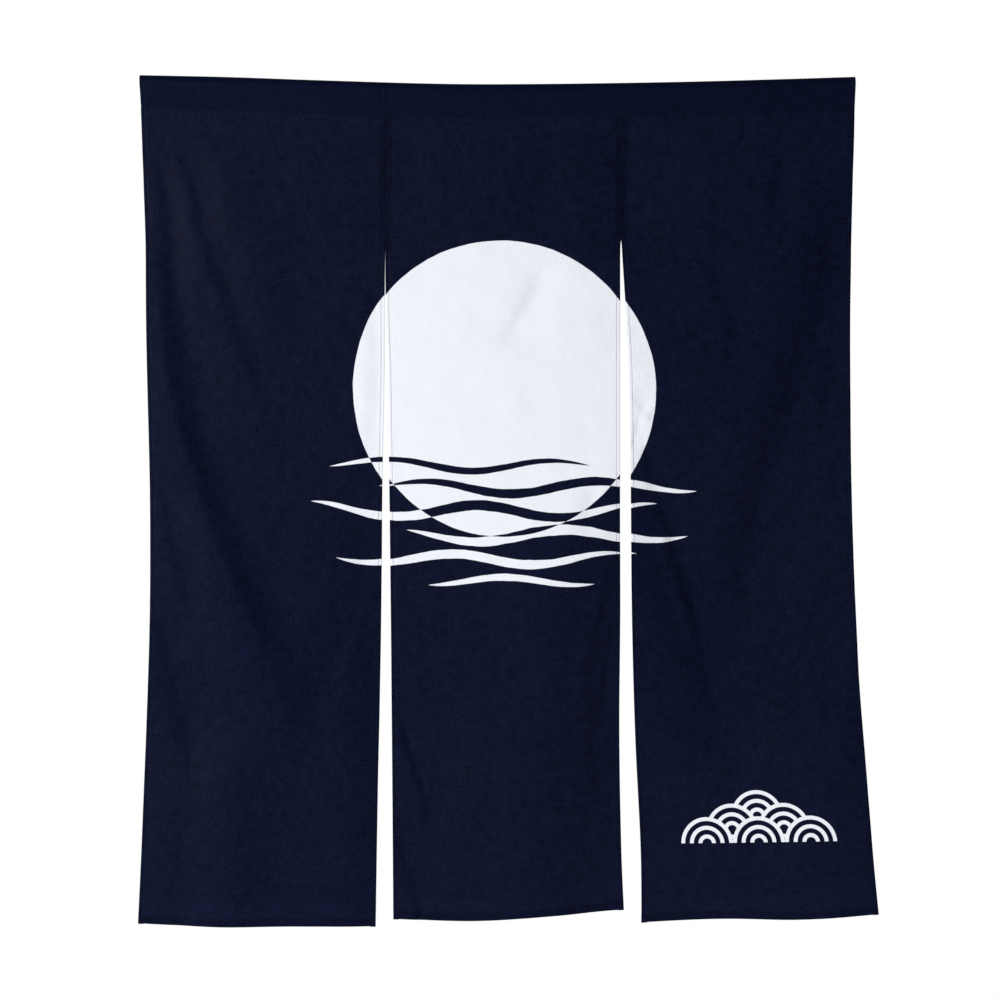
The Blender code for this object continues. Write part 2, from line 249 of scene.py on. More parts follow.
STITCH_GROOVE = (1.1 * MM, 0.1 * MM)  # half its width, at its edge and at its foot
STITCH_RELIEF = -0.25 * MM
STITCH_IN_SEAM = -0.8  # how much less the side stitches show in a seam
PUCKER = 5 * MM  # size of the puckers beside stitches
PUCKER_RELIEF = 0.22 * MM
SIDE_PUCKERS = (16 * MM, 4 * MM)  # where they start and where they are full, from an edge
BOTTOM_PUCKERS = (24 * MM, 9 * MM)
HEADING_PUCKERS = 14 * MM
LINT_EDGE = (1.2 * MM, 0.6 * MM)  # from an edge, which is fuzzy with lint
ROUGHNESS = 0.48
LINT_ROUGHNESS = 0.52  # more than ROUGHNESS
SPECULAR = 0.036  # the cotton hardly shines
THREAD_ROUGHNESS = 0.7
THREAD_SPECULAR = 0.15
TWIST_SCALE = 900  # of the wave texture that twists the sewing thread
# Painted shade in the grooves of the sewing thread's twist, lighter on its ridges
TWIST_SHADE = (0.5, 0.8)
TWIST_RELIEF = 0.05 * MM

# Looks of the prints
PRINT_EDGE = 0.35 * MM  # half the width over which the dye stops
PRINT_BEHIND = 0.9  # how strongly the print shows on the back
WOBBLE_SIZE = 26 * MM  # a hand-cut stencil's unevenness
MOON_WOBBLE = 0.7 * MM
WATER_WOBBLE = 0.18  # of a line's thickness
WATER_TAPER = 0.62  # the power by which a line thins towards its ends
RINGS = 3  # in one wave of the small mark
RING_START = 0.22  # of a ring, in from the rim
RING_EDGE = (0.02, 0.32)  # the cosines at which a ring's white starts and is full

# The running water below the moon, in millimetres: each line's drop below the moon's middle, its
# two ends, its thickness, how far it sways, the length of a sway and where the first one starts.
Water = namedtuple("Water", "drop start end thickness sway wave shift")
WATERS = (
    Water(92, -205, 108, 9, 6.0, 190, 10),
    Water(118, -142, 226, 12, 7.0, 205, 62),
    Water(146, -228, 176, 13, 7.5, 198, 118),
    Water(175, -118, 214, 13, 7.0, 210, 20),
    Water(203, -196, 150, 12, 6.5, 192, 84),
    Water(229, -92, 112, 9, 5.0, 186, 140),
)

# The lights: where each one is and how wide, in metres. All are aimed at the middle of the cloth.
Light = namedtuple("Light", "name place size")
LIGHTS = (
    Light("key", (-2.2, -2.2, 0.1), 1.3),
    Light("fill", (-0.3, -1.6, -1.9), 1.2),
    Light("low", (1.0, -1.1, -1.5), 0.8),
    Light("rear", (2.4, 2.4, 0.1), 1.3),
)
LIT_PLACE = (0, 0, -0.5)
AIM = (0.003, 0, -0.4945)  # of the camera, as the photograph has it
FLOOR_RADIUS = 1.6
FLOOR_SIDES = 128
FLOOR_COLOUR = (0.78, 0.78, 0.78)
FLOOR_CLOUDS = (0.03, 0.985)  # how strong they are, and the least shade
FLOOR_ROUGHNESS = 0.8


def size_property(name, description, default):
    return FloatProperty(name=name, description=description, default=default, unit="LENGTH", precision=5)


def colour_property(name, description, default):
    return FloatVectorProperty(
        name=name, description=description, default=default, subtype="COLOR", min=0, max=1
    )


def power_property(name, watts):
    return FloatProperty(name=name, description=f"Power in watts of the {name} light", default=watts)


class NorenCloth(bpy.types.PropertyGroup):
    """Sizes and colours of the cotton"""

    thickness: size_property("Thickness", "Of the cotton", 0.5 * MM)
    layer_gap: size_property("Layer Gap", "Between layers of a hem", 0.12 * MM)
    side_hem: size_property("Side Hem", "Width of a side hem", 5 * MM)
    bottom_hem: size_property("Bottom Hem", "Depth of the bottom hem", 10 * MM)
    thread_pitch: size_property("Thread Pitch", "Between two threads of the weave", 0.8 * MM)
    stitch: size_property("Stitch", "Length of a machine stitch", 3 * MM)
    navy: colour_property("Navy", "Colour of the dyed cotton", (0.0031, 0.0053, 0.0208))
    # Painted shade: two layers let less light through than one, so the navy is darker where the cloth
    # lies double
    navy_double: colour_property(
        "Navy, Double", "Colour of the dyed cotton where it lies double", (0.0019, 0.0039, 0.0176)
    )
    white: colour_property("White", "Colour of the print", (0.83, 0.857, 0.91))


class NorenPrint(bpy.types.PropertyGroup):
    """The moon over running water, and the small wave mark"""

    moon_across: size_property("Moon Across", "Moon's middle, from the middle line", 5 * MM)
    moon_drop: size_property("Moon Drop", "Moon's middle, below the top edge", 362 * MM)
    moon_radius: size_property("Moon Radius", "Radius of the moon", 176 * MM)
    mark_across: size_property("Mark Across", "Wave mark's middle, from the middle line", 290 * MM)
    mark_drop: size_property("Mark Drop", "Foot of the wave mark, below the top edge", 905 * MM)
    mark_radius: size_property("Mark Radius", "Radius of one wave of the mark", 31 * MM)


class NorenStudio(bpy.types.PropertyGroup):
    """Camera, lights and floor"""

    lens: FloatProperty(name="Lens", description="Focal length in millimetres", default=100)
    distance: size_property("Distance", "From the camera to the cloth", 3.302)
    centre: FloatVectorProperty(
        name="Centre", description="What the camera looks at", default=AIM, subtype="TRANSLATION"
    )
    key: power_property("Key", 92)
    fill: power_property("Fill", 11)
    low: power_property("Low", 4)
    rear: power_property("Rear", 80)
    ambient: FloatProperty(name="Ambient", description="Strength of the light all round", default=0.23)
    floor_drop: size_property("Floor Drop", "From the top edge to the floor", 1.85)


def smooth_step(start, end, value):
    share = np.clip((value - start) / (end - start), 0, 1)
    return share * share * (3 - 2 * share)


def smooth_curve(stops, values, at):
    """The values at stops on a smooth curve through them, which is straight past its ends."""
    stops, values, at = np.asarray(stops, float), np.asarray(values, float), np.asarray(at, float)
    slopes = np.empty_like(values)
    slopes[1:-1] = (values[2:] - values[:-2]) / (stops[2:] - stops[:-2])
    slopes[0] = (values[1] - values[0]) / (stops[1] - stops[0])
    slopes[-1] = (values[-1] - values[-2]) / (stops[-1] - stops[-2])
    i = np.clip(np.searchsorted(stops, at, side="right") - 1, 0, len(stops) - 2)
    span = stops[i + 1] - stops[i]
    t = (at - stops[i]) / span
    inside = (
        values[i] * (1 + 2 * t) * (1 - t) ** 2
        + values[i + 1] * t * t * (3 - 2 * t)
        + span * (slopes[i] * t * (1 - t) ** 2 - slopes[i + 1] * t * t * (1 - t))
    )
    before = values[0] + slopes[0] * (at - stops[0])
    after = values[-1] + slopes[-1] * (at - stops[-1])
    return np.where(t < 0, before, np.where(t > 1, after, inside))


def level_value(column, drop):
    """A column of the outline table at a drop."""
    drops = [level.drop * MM for level in LEVELS]
    return smooth_curve(drops, [getattr(level, column) * MM for level in LEVELS], drop)


def edge(column, side, drop):
    """Where a panel's edge is: side is 1 on a slit's right, -1 on its left."""
    middle = level_value(column, drop)
    if column in SLITS:
        gap = level_value(column.replace("slit", "gap"), drop) - FRAME_SEAM_GAP
        sewn = smooth_step(SLIT_TOP - SEAM_OPENS, SLIT_TOP, -np.asarray(drop))
        return middle + side * (gap - SEAM_PRESS * sewn) / 2
    return middle


def across_at(panel, share, drop):
    """The place across, at a share of a panel's width."""
    left, right = edge(panel.from_edge, 1, drop), edge(panel.to_edge, -1, drop)
    return left + (right - left) * share


def top_edge(across):
    """Height of the top edge, which sags between its corners."""
    stops = [row.across * MM for row in TOP_EDGE]
    return smooth_curve(stops, [row.rise * MM for row in TOP_EDGE], across)


def bottom_edge(panel, share):
    """Height of a panel's bottom edge, at a share of its width."""
    return -smooth_curve([0, 1 / 3, 2 / 3, 1], [drop * MM for drop in panel.bottom], share)


def rounded(route):
    """A fold's route with its corners rounded, in metres."""
    points = np.array([(across * MM, -drop * MM) for across, drop in route])
    stops = np.arange(len(points), dtype=float)
    at = np.linspace(0, len(points) - 1, (len(points) - 1) * ROUTE_STEPS + 1)
    return np.stack([smooth_curve(stops, points[:, axis], at) for axis in (0, 1)], axis=1)


def fold_shape(fold, across, height):
    """How far back one fold pushes the cloth."""
    points = rounded(fold.route)
    lengths = np.linalg.norm(np.diff(points, axis=0), axis=1)
    passed = np.concatenate(([0], np.cumsum(lengths)))
    nearest = np.full(across.shape, np.inf)
    signed = np.zeros(across.shape)
    share = np.zeros(across.shape)
    for k, (a, b) in enumerate(zip(points, points[1:])):
        run = b - a
        dx, dz = across - a[0], height - a[1]
        t = np.clip((dx * run[0] + dz * run[1]) / (run @ run), 0, 1)
        distance = np.hypot(dx - t * run[0], dz - t * run[1])
        closer = distance < nearest
        nearest = np.where(closer, distance, nearest)
        signed = np.where(closer, run[0] * dz - run[1] * dx, signed)
        share = np.where(closer, (passed[k] + t * lengths[k]) / passed[-1], share)
    width = np.where(signed > 0, fold.right, fold.left) * MM
    fade = smooth_step(0, FOLD_ENDS, share) * smooth_step(0, FOLD_ENDS, 1 - share)
    return fold.depth * MM * fade * np.exp(-((nearest / width) ** 2))


def fold_depth(side, across, height):
    """How far back (+Y) the folds push a panel's cloth."""
    free = np.zeros(across.shape)
    sewn = np.zeros(across.shape)
    for fold in FOLDS + CREASES:
        panels = fold.panels.split()
        if side in panels:
            total = free if len(panels) == 1 else sewn
            total += fold_shape(fold, across, height)
    for slit in SLITS:
        beside = smooth_step(0, SEAM_REACH, np.abs(across - level_value(slit, -height)))
        below = smooth_step(SLIT_TOP, SLIT_TOP - SLIT_EASE, height)
        free *= np.maximum(beside, below)
    held = smooth_step(FLAT_ABOVE, FOLDED_BELOW, height)
    return free * held + sewn * smooth_step(FLAT_ABOVE, FLAT_ABOVE - SEAM_EASE, height)


def unevenness(across, height):
    """Small creasing all over the cloth."""
    draw = np.random.default_rng(WAVE_SEED)
    short, long = WAVE_LENGTHS
    total = np.zeros(across.shape)
    for length in np.geomspace(short, long, WAVES):
        course, start = draw.uniform(0, 2 * math.pi, 2)
        turn = 2 * math.pi / length
        way = across * math.cos(course) + height * math.sin(course)
        total += WAVE_SLOPE / turn * np.sin(turn * way + start)
    return total * smooth_step(FLAT_ABOVE, FOLDED_BELOW, height)


def face_plane():
    """Where the middle of the cloth lies, so that its front is the frame's front."""
    return -SOLID_LAYER + bpy.context.scene.noren_cloth.thickness / 2


def panel_face(panel, share, down):
    """Places on a panel below its heading: shares of its width, and of the way to its bottom edge."""
    top = top_edge(across_at(panel, share, 0)) - HEADING
    height = top + (bottom_edge(panel, share) - top) * down
    across = across_at(panel, share, -height)
    back = fold_depth(panel.side, across, height) + unevenness(across, height) + face_plane()
    return np.stack((across, back, height), axis=-1)


def tunnel_profile():
    """The tunnel's section from its back foot to its stitches at the front: (back, drop) places."""
    cloth = bpy.context.scene.noren_cloth
    radius = TUNNEL_RADIUS - cloth.thickness / 2
    centre = TUNNEL_RADIUS
    turn = np.linspace(-TUNNEL_TURN, math.pi + TUNNEL_TURN, ARC_ROWS + 1)
    arc = np.stack((radius * np.cos(turn), centre - radius * np.sin(turn)), axis=1)
    front_foot = np.array((face_plane(), HEADING))
    back_foot = front_foot + (cloth.thickness + cloth.layer_gap, 0)
    hem = back_foot + (0, HEM_UNDER)
    shares = np.linspace(0, 1, WALL_ROWS + 1)[:, None]
    back_wall = back_foot + (arc[0] - back_foot) * shares
    front_wall = arc[-1] + (front_foot - arc[-1]) * shares
    return np.concatenate(([hem], back_wall, arc[1:-1], front_wall[:-1]))


# The middle of a panel's cloth, without its turned edges: its places, its flat places, the ways down,
# right and in from each, and what is left to the side edges of each column and to the bottom edge of
# each row.
Sheet = namedtuple("Sheet", "places flat down right inward to_side to_bottom")


def panel_sheet(panel):
    cloth = bpy.context.scene.noren_cloth
    width = float(across_at(panel, 1, 0) - across_at(panel, 0, 0))
    length = float(-HEADING - bottom_edge(panel, 0.5))
    inset = cloth.thickness + cloth.layer_gap / 2
    to_side = hem_stops(inset, cloth.side_hem, width)
    shares = to_side / width
    to_bottom = length - np.concatenate(
        (
            np.linspace(0, length - cloth.bottom_hem, ROWS + 1)[:-1],
            np.linspace(length - cloth.bottom_hem, length - inset, HEM_CELLS + 1),
        )
    )
    profile = tunnel_profile()
    share, drop = np.meshgrid(shares, profile[:, 1])
    back = np.broadcast_to(profile[:, :1], drop.shape)
    height = top_edge(across_at(panel, share, 0)) - drop
    tunnel = np.stack((across_at(panel, share, drop), back, height), axis=-1)
    share, down = np.meshgrid(shares, 1 - to_bottom / length)
    hung = panel_face(panel, share, down)
    places = np.concatenate((tunnel, hung))

    walls = np.concatenate((profile, [(face_plane(), HEADING)]))
    steps = np.linalg.norm(np.diff(walls, axis=0), axis=1)
    above = np.cumsum(steps[::-1])[::-1] - HEADING
    flat_across = np.broadcast_to(across_at(panel, shares, 0), places.shape[:2])
    flat_height = np.concatenate(
        (np.broadcast_to(above[:, None], tunnel.shape[:2]), hung[..., 2] - top_edge(flat_across[0]))
    )
    flat = np.stack((flat_across, flat_height), axis=-1)
    down, right = np.gradient(places, axis=0), np.gradient(places, axis=1)
    ways = (down, right, np.cross(right, down))
    ways = (way / np.linalg.norm(way, axis=-1, keepdims=True) for way in ways)
    to_side = np.minimum(to_side, width - to_side)
    to_bottom = np.concatenate((above + HEADING + length, to_bottom))
    return Sheet(places, flat, *ways, to_side, to_bottom)


def hem_stops(start, hem, width):
    """Places across a panel: narrow cells in both side hems and even ones between them."""
    turned = np.linspace(start, hem, HEM_CELLS + 1)
    face = np.linspace(hem, width - hem, COLUMNS + 1)
    return np.concatenate((turned[:-1], face, (width - turned[::-1])[1:]))


def turned_edge(last):
    """A cloth's cells past its last one: round the turned edge and back along the hem.
    Gives each one's cell and the angle that it has turned through."""
    cells = np.concatenate((np.full(TURN_STEPS - 1, last), last - np.arange(HEM_CELLS + 1)))
    turning = np.linspace(0, math.pi, TURN_STEPS + 1)[1:-1]
    return cells, np.concatenate((turning, np.full(HEM_CELLS + 1, math.pi)))


def hemmed(sheet):
    """Turns the side hems under, and then the bottom hem over them. Gives the whole cloth's places,
    flat places, and the place in its hems of each."""
    cloth = bpy.context.scene.noren_cloth
    layer = cloth.thickness + cloth.layer_gap
    last_row, last_column = sheet.places.shape[0] - 1, sheet.places.shape[1] - 1
    cells, angles = turned_edge(last_column)
    columns = np.concatenate((last_column - cells[::-1], np.arange(last_column + 1), cells))
    side_turn = np.concatenate((-angles[::-1], np.zeros(last_column + 1), angles))
    cells, angles = turned_edge(last_row)
    rows = np.concatenate((np.arange(last_row + 1), cells))
    bottom_turn = np.concatenate((np.zeros(last_row + 1), angles))[:, None]

    pick = np.ix_(rows, columns)
    side_depth = layer / 2 * (1 - np.cos(side_turn))
    over_hem = 1 - smooth_step(cloth.side_hem, cloth.side_hem + HEM_STEP, sheet.to_side[columns])
    fold_plane = layer * (0.5 + over_hem)
    depth = fold_plane - (fold_plane - side_depth) * np.cos(bottom_turn)
    beside = layer / 2 * np.sin(side_turn) * np.ones_like(bottom_turn)
    below = np.abs(fold_plane - side_depth) * np.sin(bottom_turn)
    whole = sheet.places[pick] + sheet.inward[pick] * depth[..., None]
    whole += sheet.right[pick] * beside[..., None] + sheet.down[pick] * below[..., None]

    to_side, to_bottom = np.broadcast_arrays(sheet.to_side[columns], sheet.to_bottom[rows][:, None])
    past_side = np.where(side_turn == 0, 0, to_side + layer / 2 * np.abs(side_turn)) * np.sign(side_turn)
    past_bottom = np.where(bottom_turn == 0, 0, to_bottom + layer / 2 * bottom_turn)
    flat = sheet.flat[pick] + np.stack((past_side, -past_bottom), axis=-1)
    return whole, flat, np.stack((to_side, to_bottom, np.zeros(to_side.shape)), axis=-1)


def between(values, cell):
    """Values at a cell's place that may lie between two cells, along the first axis."""
    low = int(cell)
    return values[low] + (values[min(low + 1, len(values) - 1)] - values[low]) * (cell - low)


def stitch_lines(panel):
    """Where a panel is sewn: (places, inward) along each side hem where it is free, and along the
    heading and the bottom hem."""
    sheet = panel_sheet(panel)
    cloth = bpy.context.scene.noren_cloth
    cells = np.arange(len(sheet.to_side))
    half = len(cells) // 2
    in_left = np.interp(cloth.side_hem - STITCH_INSET, sheet.to_side[:half], cells[:half])
    heights = sheet.flat[:, half, 1]
    rows = np.arange(len(heights))
    heading_row = np.interp(HEADING, -heights, rows)
    bottom_row = np.interp(STITCH_INSET - cloth.bottom_hem, -sheet.to_bottom, rows)
    slit_row = int(np.interp(-SLIT_TOP, -heights, rows))
    lines = []
    for column, beside in ((in_left, panel.from_edge), (cells[-1] - in_left, panel.to_edge)):
        first_row = slit_row if beside in SLITS else int(heading_row) + 1
        free = (values[first_row:].transpose(1, 0, 2) for values in (sheet.places, sheet.inward))
        lines.append(tuple(between(values, column) for values in free))
    for row in (heading_row, bottom_row):
        lines.append((between(sheet.places, row), between(sheet.inward, row)))
    return lines


def stitch_centres(line, stitch):
    """Places, ways along and ways in of the stitches along a line."""
    places, inward = line
    passed = np.concatenate(([0], np.cumsum(np.linalg.norm(np.diff(places, axis=0), axis=1))))
    count = int(passed[-1] / stitch)
    ends = np.linspace(0, passed[-1], count + 1)
    at = (ends[1:] + ends[:-1]) / 2

    def on_line(values, where):
        return np.stack([np.interp(where, passed, values[:, axis]) for axis in range(3)], axis=1)

    centre, start, end = (on_line(places, where) for where in (at, at - stitch / 2, at + stitch / 2))
    way_in = on_line(inward, at)
    along = (end - start) / np.linalg.norm(end - start, axis=1, keepdims=True)
    return centre, along, way_in / np.linalg.norm(way_in, axis=1, keepdims=True)


def grid_mesh(name, places, flat, in_hem):
    """A new object of a grid of places, with its flat places as a UV map in metres."""
    rows, columns = places.shape[:2]
    bpy.ops.mesh.primitive_grid_add(x_subdivisions=columns - 1, y_subdivisions=rows - 1, size=1)
    piece = bpy.context.object
    piece.name = piece.data.name = name
    mesh = piece.data
    start = np.empty(len(mesh.vertices) * 3)
    mesh.vertices.foreach_get("co", start)
    start = start.reshape(-1, 3) + 0.5
    column = np.rint(start[:, 0] * (columns - 1)).astype(int)
    row = rows - 1 - np.rint(start[:, 1] * (rows - 1)).astype(int)
    mesh.vertices.foreach_set("co", places[row, column].ravel())
    corner = np.empty(len(mesh.loops), int)
    mesh.loops.foreach_get("vertex_index", corner)
    mesh.uv_layers[0].name = FLAT_MAP
    mesh.uv_layers[0].uv.foreach_set("vector", flat[row, column][corner].ravel())
    place = mesh.attributes.new(HEM_PLACE, "FLOAT_VECTOR", "POINT")
    place.data.foreach_set("vector", in_hem[row, column].ravel())
    mesh.update()
    return piece


def stitch_mesh(name, lines):
    """One mesh of all the stitches along some lines, on both faces of their two layers of cloth."""
    cloth = bpy.context.scene.noren_cloth
    bpy.ops.mesh.primitive_uv_sphere_add(segments=THREAD_SIDES, ring_count=THREAD_RINGS, radius=1)
    piece = bpy.context.object
    piece.name = piece.data.name = name
    ball = np.array([corner.co for corner in piece.data.vertices])
    faces = [list(face.vertices) for face in piece.data.polygons]
    front, rear = -cloth.thickness / 2, cloth.thickness * 1.5 + cloth.layer_gap
    corners = []
    for line in lines:
        centre, along, way_in = stitch_centres(line, cloth.stitch)
        beside = np.cross(along, way_in)
        for depth in (front, rear):
            long = along[:, None] * ball[:, 2, None] * cloth.stitch / 2 * STITCH_SHARE
            wide = beside[:, None] * ball[:, 0, None] + way_in[:, None] * ball[:, 1, None]
            corners.append((centre + way_in * depth)[:, None] + long + wide * THREAD_RADIUS)
    corners = np.concatenate(corners)
    piece.data.clear_geometry()
    count = len(ball)
    all_faces = [[k * count + corner for corner in face] for k in range(len(corners)) for face in faces]
    piece.data.from_pydata(corners.reshape(-1, 3), [], all_faces)
    bpy.ops.object.shade_smooth()
    return piece


def seam_grid(slit):
    """A felled seam behind two panels, from under the heading to the top of their slit."""
    cloth = bpy.context.scene.noren_cloth
    left = next(panel for panel in PANELS if panel.to_edge == slit)
    right = next(panel for panel in PANELS if panel.from_edge == slit)
    start = float(top_edge(level_value(slit, 0))) - HEADING + SEAM_START
    beside, height = np.meshgrid(
        np.linspace(-SEAM_ALLOWANCE, SEAM_ALLOWANCE, SEAM_COLUMNS + 1),
        np.linspace(start, SLIT_TOP, SEAM_ROWS + 1),
    )
    across = level_value(slit, -height) + beside
    depth = np.where(
        beside < 0, fold_depth(left.side, across, height), fold_depth(right.side, across, height)
    )
    behind = 2 * (cloth.thickness + cloth.layer_gap)
    depth += unevenness(across, height) + face_plane() + behind
    places = np.stack((across, depth, height), axis=-1)
    flat = np.stack((across, height), axis=-1)
    to_side, to_bottom = SEAM_ALLOWANCE - np.abs(beside), height - SLIT_TOP
    return places, flat, np.stack((to_side, to_bottom, np.zeros(beside.shape)), axis=-1)


def give_thickness(piece, thickness):
    """Makes a thin closed cloth of the newest sheet, with its own material on the rear face."""
    solid = piece.modifiers.new("Cloth", "SOLIDIFY")
    solid.thickness = thickness
    solid.offset = 0
    solid.material_offset = 1
    bpy.ops.object.modifier_apply(modifier=solid.name)
    bpy.ops.object.shade_smooth_by_angle(angle=SMOOTH_BELOW)


class Shader:
    """Short calls for the nodes of one material."""

    def __init__(self, name):
        self.material = bpy.data.materials.new(name)
        self.material.use_nodes = True
        self.tree = self.material.node_tree
        self.principled = self.tree.nodes["Principled BSDF"]

    def node(self, kind, inputs=(), **settings):
        new = self.tree.nodes.new(kind)
        for key, value in settings.items():
            setattr(new, key, value)
        for key, value in dict(inputs).items():
            self.put(new.inputs[key], value)
        return new

    def put(self, socket, value):
        if isinstance(value, bpy.types.NodeSocket):
            self.tree.links.new(value, socket)
        else:
            socket.default_value = value

    def finished(self, colour, roughness, specular, relief, depth=1):
        """The material with its looks. Relief stands out by depth."""
        bump = self.node("ShaderNodeBump", {"Height": relief, "Distance": depth, "Strength": 1})
        looks = {
            "Base Color": colour,
            "Roughness": roughness,
            "Specular IOR Level": specular,
            "Normal": bump.outputs[0],
        }
        for name, value in looks.items():
            self.put(self.principled.inputs[name], value)
        return self.material

    def math(self, operation, *values):
        return self.node("ShaderNodeMath", enumerate(values), operation=operation).outputs[0]

    def add(self, *values):
        return reduce(lambda total, value: self.math("ADD", total, value), values)

    def times(self, *values):
        return reduce(lambda product, value: self.math("MULTIPLY", product, value), values)

    def most(self, *values):
        return reduce(lambda highest, value: self.math("MAXIMUM", highest, value), values)

    def minus(self, first, second):
        return self.math("SUBTRACT", first, second)

    def step(self, value, start, end):
        """0 at start, 1 at end, soft between them."""
        ramp = self.node(
            "ShaderNodeMapRange",
            {"Value": value, "From Min": start, "From Max": end},
            interpolation_type="SMOOTHSTEP",
        )
        return ramp.outputs["Result"]

    def mixed(self, share, first, second):
        """The first colour at a share of 0, the second at 1."""
        mix = self.node("ShaderNodeMix", {"Factor": share}, data_type="VECTOR")
        vectors = [socket for socket in mix.inputs if socket.type == "VECTOR"]
        self.put(vectors[-2], first)
        self.put(vectors[-1], second)
        return next(socket for socket in mix.outputs if socket.type == "VECTOR")

    def far(self, place, across, height):
        """Distance from a flat place."""
        ends = {0: place, 1: (across, height, 0)}
        return self.node("ShaderNodeVectorMath", ends, operation="DISTANCE").outputs["Value"]

    def scaled(self, colour, by):
        scale = self.node("ShaderNodeVectorMath", {0: colour, "Scale": by}, operation="SCALE")
        return scale.outputs[0]

    def clouds(self, place, size, stretch=(1, 1), detail=2):
        """Noise about 0, from about -1 to 1, in spots of a size. stretch lengthens them."""
        scaled = self.node(
            "ShaderNodeVectorMath",
            {0: place, 1: (1 / (size * stretch[0]), 1 / (size * stretch[1]), 0)},
            operation="MULTIPLY",
        )
        spots = self.node(
            "ShaderNodeTexNoise",
            {"Vector": scaled.outputs[0], "Scale": 1, "Detail": detail},
            noise_dimensions="2D",
        )
        return self.math("MULTIPLY_ADD", spots.outputs["Fac"], 2, -1)


def moon_and_water(shader, place, across, height):
    """White of the large print: a full moon with running water over its foot. Where the two cross,
    the cloth shows again."""
    design = bpy.context.scene.noren_print
    wobble = shader.clouds(place, WOBBLE_SIZE)
    x, y = design.moon_across, -design.moon_drop
    rim = shader.add(shader.far(place, x, y), shader.times(wobble, MOON_WOBBLE))
    moon = shader.step(rim, design.moon_radius + PRINT_EDGE, design.moon_radius - PRINT_EDGE)
    water = 0
    for line in WATERS:
        middle, reach = (line.start + line.end) / 2 * MM + x, (line.end - line.start) / 2 * MM
        turn = shader.times(shader.minus(across, x + line.shift * MM), 2 * math.pi / (line.wave * MM))
        sway = shader.times(shader.math("SINE", turn), line.sway * MM)
        off = shader.minus(shader.minus(height, y - line.drop * MM), sway)
        share = shader.times(shader.minus(across, middle), 1 / reach)
        left_over = shader.math("MAXIMUM", shader.minus(1, shader.times(share, share)), 0)
        half = shader.times(shader.math("POWER", left_over, WATER_TAPER), line.thickness / 2 * MM)
        uneven = shader.math("MULTIPLY_ADD", wobble, WATER_WOBBLE, 1)
        half = shader.minus(shader.times(half, uneven), PRINT_EDGE)
        past = shader.minus(shader.math("ABSOLUTE", off), half)
        water = shader.most(water, shader.step(past, PRINT_EDGE, -PRINT_EDGE))
    return shader.math("ABSOLUTE", shader.minus(moon, water))


def wave_mark(shader, place, height):
    """White of the small print: six wave scales, three over two over one."""
    design = bpy.context.scene.noren_print
    radius = design.mark_radius
    white = 0
    for row in (2, 1, 0):
        for k in range(3 - row):
            x = design.mark_across + (2 * k - 2 + row) * radius
            y = -design.mark_drop + row * radius / 2
            inside = shader.minus(radius, shader.far(place, x, y))
            past = shader.minus(inside, radius / RINGS * RING_START)
            turn = shader.times(past, 2 * math.pi * RINGS / radius)
            ring = shader.step(shader.math("COSINE", turn), *RING_EDGE)
            mask = shader.step(inside, -PRINT_EDGE / 2, PRINT_EDGE / 2)
            white = shader.add(shader.times(white, shader.minus(1, mask)), shader.times(ring, mask))
    return shader.times(white, shader.step(height, -design.mark_drop, -design.mark_drop + PRINT_EDGE))


def weave(shader, across, height):
    """Height of a plain weave, 0 between the threads and 1 on top of them."""
    pitch = bpy.context.scene.noren_cloth.thread_pitch
    waves = [shader.math("SINE", shader.times(value, math.pi / pitch)) for value in (across, height)]
    over = shader.step(shader.times(*waves), -THREAD_CROSSING, THREAD_CROSSING)
    warp, weft = (shader.math("ABSOLUTE", wave) for wave in waves)
    warp_top = shader.times(shader.math("SQRT", warp), shader.math("MULTIPLY_ADD", weft, *THREAD_ARCH))
    weft_top = shader.times(shader.math("SQRT", weft), shader.math("MULTIPLY_ADD", warp, *THREAD_ARCH))
    return shader.add(shader.times(warp_top, over), shader.times(weft_top, shader.minus(1, over)))


